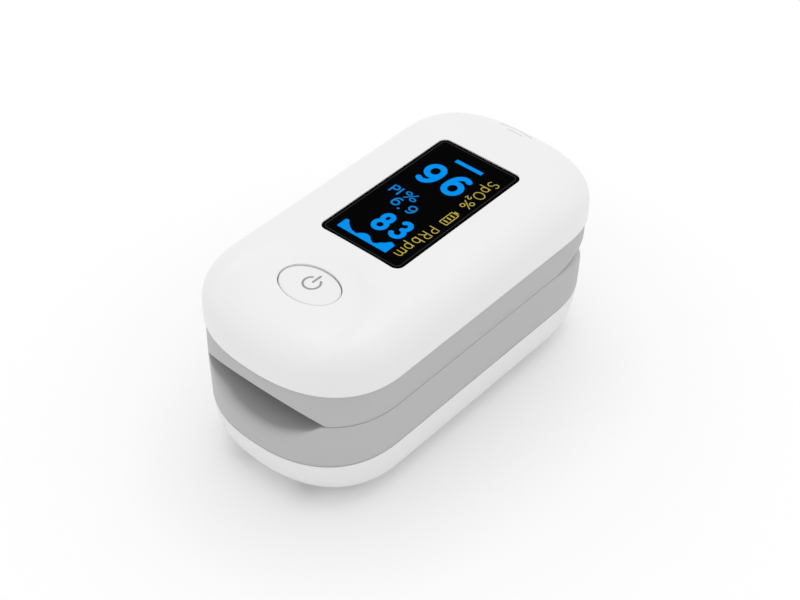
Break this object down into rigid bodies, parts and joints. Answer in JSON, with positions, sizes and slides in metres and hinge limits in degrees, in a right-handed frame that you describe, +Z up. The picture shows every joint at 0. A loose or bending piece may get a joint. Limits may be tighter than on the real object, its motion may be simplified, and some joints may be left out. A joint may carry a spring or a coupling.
{
  "type": "fingertip pulse oximeter",
  "caption": "Fingertip pulse oximeter: a spring clip of two rounded jaws with a display, an oval power button, a finger mouth and a sliding battery door.",
  "frame": {"origin": "centre of the bounding box on the plane of the underside", "axes": "+Y along the finger towards the rear squeeze end, with the finger mouth at -Y; +X across the width; +Z up through the display"},
  "size_m": [0.034, 0.065, 0.032],
  "materials": {
    "white_plastic": "soft gloss",
    "door_plastic": "soft gloss",
    "button_plastic": "satin",
    "grey_plastic": "fine satin",
    "silicone": "matt silicone",
    "display_black": "polished",
    "panel_glass": "polished",
    "circuit_board": "solder mask",
    "chip_black": "matt",
    "connector_plastic": "moulded",
    "clear_plastic": "clear polycarbonate",
    "led_package": "moulded",
    "steel": "ground",
    "spring_steel": "drawn wire",
    "nickel_contact": "nickel plate",
    "battery_jacket": "printed film",
    "flat_cable_film": "polyimide film",
    "switch_body": "stamped",
    "plunger_plastic": "moulded"
  },
  "bodies": {
    "lower_jaw": {"lower_shell": "grey_plastic", "bottom_cover": "white_plastic", "lower_finger_pad": "silicone", "detector_board": "circuit_board", "photodiode": "chip_black", "detector_window": "clear_plastic", "battery_left": "battery_jacket", "battery_right": "battery_jacket", "battery_plate_positive": "nickel_contact", "battery_spring_negative": "nickel_contact", "battery_bridge": "nickel_contact", "hinge_pin": "steel", "torsion_spring_left": "spring_steel", "torsion_spring_right": "spring_steel", "flat_cable": "flat_cable_film", "lower_screw_1": "steel", "lower_screw_2": "steel"},
    "upper_jaw": {"upper_shell": "grey_plastic", "top_cover": "white_plastic", "display_window": "display_black", "display_panel": "panel_glass", "main_board": "circuit_board", "processor_chip": "chip_black", "cable_connector": "connector_plastic", "emitter_led": "led_package", "emitter_window": "clear_plastic", "tact_switch": "switch_body", "upper_finger_pad": "silicone", "upper_screw_1": "steel", "upper_screw_2": "steel", "upper_screw_3": "steel", "upper_screw_4": "steel"},
    "power_button": {"power_button": "button_plastic"},
    "switch_plunger": {"switch_plunger": "plunger_plastic"},
    "battery_door": {"battery_door": "door_plastic"}
  },
  "joints": [
    {"name": "jaw_hinge", "type": "hinge", "parent": "lower_jaw", "child": "upper_jaw", "pos_m": [0, 0.0172, 0.0178], "axis": [-1, 0, 0], "range_deg": [0, 15], "stiffness_Nm_per_rad": 0.12, "springref_deg": -20.05, "deforming": ["torsion_spring_left", "torsion_spring_right", "flat_cable"]},
    {"name": "power_button_press", "type": "slide", "parent": "upper_jaw", "child": "power_button", "axis": [0, 0, -1], "range_m": [0, 0.0004], "stiffness_N_per_m": 1500, "springref_m": -0.0008},
    {"name": "switch_plunger_travel", "type": "slide", "parent": "upper_jaw", "child": "switch_plunger", "axis": [0, 0, -1], "range_m": [0, 0.0004]},
    {"name": "battery_door_slide", "type": "slide", "parent": "lower_jaw", "child": "battery_door", "axis": [0, 1, 0], "range_m": [0, 0.01]}
  ],
  "couplings": [
    {"joint": "switch_plunger_travel", "follows": "power_button_press", "ratio": 1}
  ]
}
